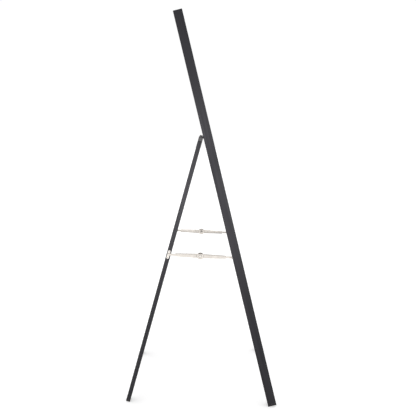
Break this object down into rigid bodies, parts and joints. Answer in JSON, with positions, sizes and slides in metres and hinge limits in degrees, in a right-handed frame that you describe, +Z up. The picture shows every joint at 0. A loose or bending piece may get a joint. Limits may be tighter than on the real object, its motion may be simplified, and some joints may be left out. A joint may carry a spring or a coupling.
{
  "type": "folding board easel",
  "caption": "Folding floor easel: a leaning timber frame round a flush writing board, a hinged rear frame with a leg at each side, and folding metal stays between them.",
  "frame": {"origin": "on the floor, under the middle of the standing easel", "axes": "+X across the width to the right as seen from the front, -Y towards the front, +Z up"},
  "size_m": [0.66, 0.6705, 1.6895],
  "materials": {
    "black_paint": "satin black paint over planed softwood",
    "slate_paint": "matt board paint on hardboard",
    "bare_wood": "bare hardwood",
    "nickel_plate": "nickel plated pressed steel",
    "hinge_steel": "dark steel, painted over"
  },
  "bodies": {
    "front_frame": {"stile_left": "black_paint", "stile_right": "black_paint", "top_rail": "black_paint", "board_rail": "black_paint", "hinge_rail": "black_paint", "lower_stretcher": "black_paint", "board_panel": "slate_paint", "top_rail_dowel_left": "bare_wood", "top_rail_dowel_right": "bare_wood", "board_rail_dowel_left": "bare_wood", "board_rail_dowel_right": "bare_wood", "hinge_rail_dowel_left": "bare_wood", "hinge_rail_dowel_right": "bare_wood", "lower_stretcher_dowel_left": "bare_wood", "lower_stretcher_dowel_right": "bare_wood", "hinge_fixed_leaf_left": "hinge_steel", "hinge_fixed_leaf_right": "hinge_steel", "hinge_pin_left": "hinge_steel", "hinge_pin_right": "hinge_steel", "hinge_fixed_screw_left_1": "hinge_steel", "hinge_fixed_screw_left_2": "hinge_steel", "hinge_fixed_screw_right_1": "hinge_steel", "hinge_fixed_screw_right_2": "hinge_steel", "stile_plate_left": "nickel_plate", "stile_plate_right": "nickel_plate", "stile_plate_left_screw_1": "nickel_plate", "stile_plate_left_screw_2": "nickel_plate", "stile_plate_right_screw_1": "nickel_plate", "stile_plate_right_screw_2": "nickel_plate", "stile_rivet_left": "nickel_plate", "stile_rivet_right": "nickel_plate"},
    "rear_frame": {"rear_leg_left": "black_paint", "rear_leg_right": "black_paint", "rear_top_rail": "black_paint", "rear_lower_rail": "black_paint", "cap_screw_left": "black_paint", "cap_screw_right": "black_paint", "hinge_moving_leaf_left": "hinge_steel", "hinge_moving_leaf_right": "hinge_steel", "hinge_moving_screw_left_1": "hinge_steel", "hinge_moving_screw_left_2": "hinge_steel", "hinge_moving_screw_right_1": "hinge_steel", "hinge_moving_screw_right_2": "hinge_steel", "leg_plate_left": "nickel_plate", "leg_plate_right": "nickel_plate", "leg_plate_left_screw_1": "nickel_plate", "leg_plate_left_screw_2": "nickel_plate", "leg_plate_right_screw_1": "nickel_plate", "leg_plate_right_screw_2": "nickel_plate", "leg_rivet_left": "nickel_plate", "leg_rivet_right": "nickel_plate"},
    "stay_front_left": {"stay_front_arm_left": "nickel_plate", "stay_front_hub_rivet_left": "nickel_plate"},
    "stay_rear_left": {"stay_rear_arm_left": "nickel_plate", "stay_rear_hub_rivet_left": "nickel_plate"},
    "stay_front_right": {"stay_front_arm_right": "nickel_plate", "stay_front_hub_rivet_right": "nickel_plate"},
    "stay_rear_right": {"stay_rear_arm_right": "nickel_plate", "stay_rear_hub_rivet_right": "nickel_plate"}
  },
  "joints": [
    {"name": "rear_frame_fold", "type": "hinge", "parent": "front_frame", "child": "rear_frame", "pos_m": [0, -0.01185, 1.1753], "axis": [-1, 0, 0], "range_deg": [0, 29.27]},
    {"name": "stay_front_pivot_left", "type": "hinge", "parent": "front_frame", "child": "stay_front_left", "pos_m": [-0.28915, -0.14462, 0.66451], "axis": [1, 0, 0], "range_deg": [0, 69.96]},
    {"name": "stay_rear_pivot_left", "type": "hinge", "parent": "rear_frame", "child": "stay_rear_left", "pos_m": [-0.28685, 0.13837, 0.67746], "axis": [-1, 0, 0], "range_deg": [0, 73.05]},
    {"name": "stay_front_pivot_right", "type": "hinge", "parent": "front_frame", "child": "stay_front_right", "pos_m": [0.28915, -0.14462, 0.66451], "axis": [1, 0, 0], "range_deg": [0, 69.96]},
    {"name": "stay_rear_pivot_right", "type": "hinge", "parent": "rear_frame", "child": "stay_rear_right", "pos_m": [0.28685, 0.13837, 0.67746], "axis": [-1, 0, 0], "range_deg": [0, 73.05]}
  ],
  "couplings": [
    {"joint": "stay_front_pivot_left", "follows": "rear_frame_fold", "ratio": 2.3898},
    {"joint": "stay_rear_pivot_left", "follows": "rear_frame_fold", "ratio": 2.4955},
    {"joint": "stay_front_pivot_right", "follows": "rear_frame_fold", "ratio": 2.3898},
    {"joint": "stay_rear_pivot_right", "follows": "rear_frame_fold", "ratio": 2.4955}
  ]
}
